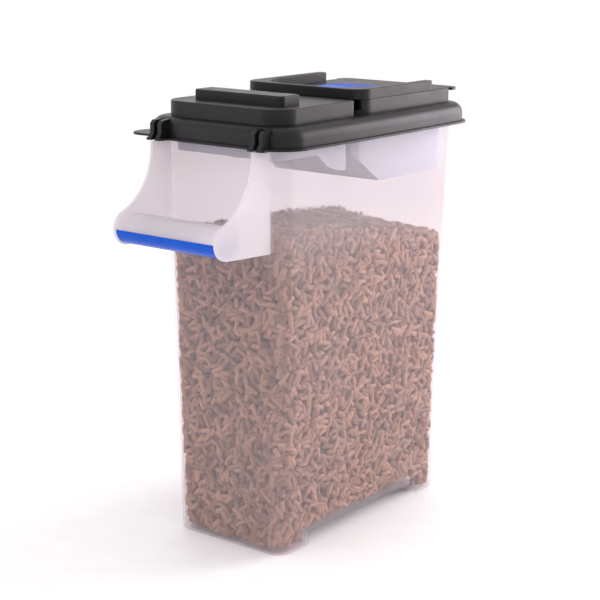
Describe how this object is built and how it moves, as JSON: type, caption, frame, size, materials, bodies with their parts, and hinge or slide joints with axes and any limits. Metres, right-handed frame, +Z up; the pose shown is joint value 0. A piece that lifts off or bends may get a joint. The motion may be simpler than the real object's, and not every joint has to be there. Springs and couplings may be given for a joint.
{
  "type": "pet food bin",
  "caption": "Tall translucent dry pet food bin with a fixed end handle, a lift-off black lid, a hinged flip-up pouring lid and a pouring chute hung below it.",
  "frame": {"origin": "on the surface the bin stands on, at the middle of the whole bin's footprint, handle and pull tab included; the tub's own upright centre line passes through x 0.0306, y -0.0095", "axes": "+Z up; +X towards the pouring end with the thumb lip, -X towards the carrying handle; Y across the bin, with the lid's pull tab on the +Y side"},
  "size_m": [0.3742, 0.205, 0.4363],
  "materials": {
    "translucent_tub": "milky translucent, smooth",
    "blue_grip": "gloss",
    "black_lid": "satin",
    "black_flip_lid": "satin",
    "pale_guards": "satin, slightly translucent",
    "hinge_pins": "smooth",
    "label": "printed film"
  },
  "bodies": {
    "tub": {"container": "translucent_tub", "handle_grip": "blue_grip"},
    "lid": {"lid": "black_lid", "pour_chute": "pale_guards", "rear_apron": "pale_guards", "hinge_pin_left": "hinge_pins", "hinge_pin_right": "hinge_pins"},
    "flip_lid": {"flip_lid": "black_flip_lid", "flip_lid_label": "label"}
  },
  "joints": [
    {"name": "lid_lift", "type": "slide", "parent": "tub", "child": "lid", "axis": [0, 0, 1], "range_m": [0, 0.08]},
    {"name": "flip_lid_hinge", "type": "hinge", "parent": "lid", "child": "flip_lid", "pos_m": [0.0152, -0.0095, 0.4243], "axis": [0, -1, 0], "range_deg": [0, 100]}
  ]
}
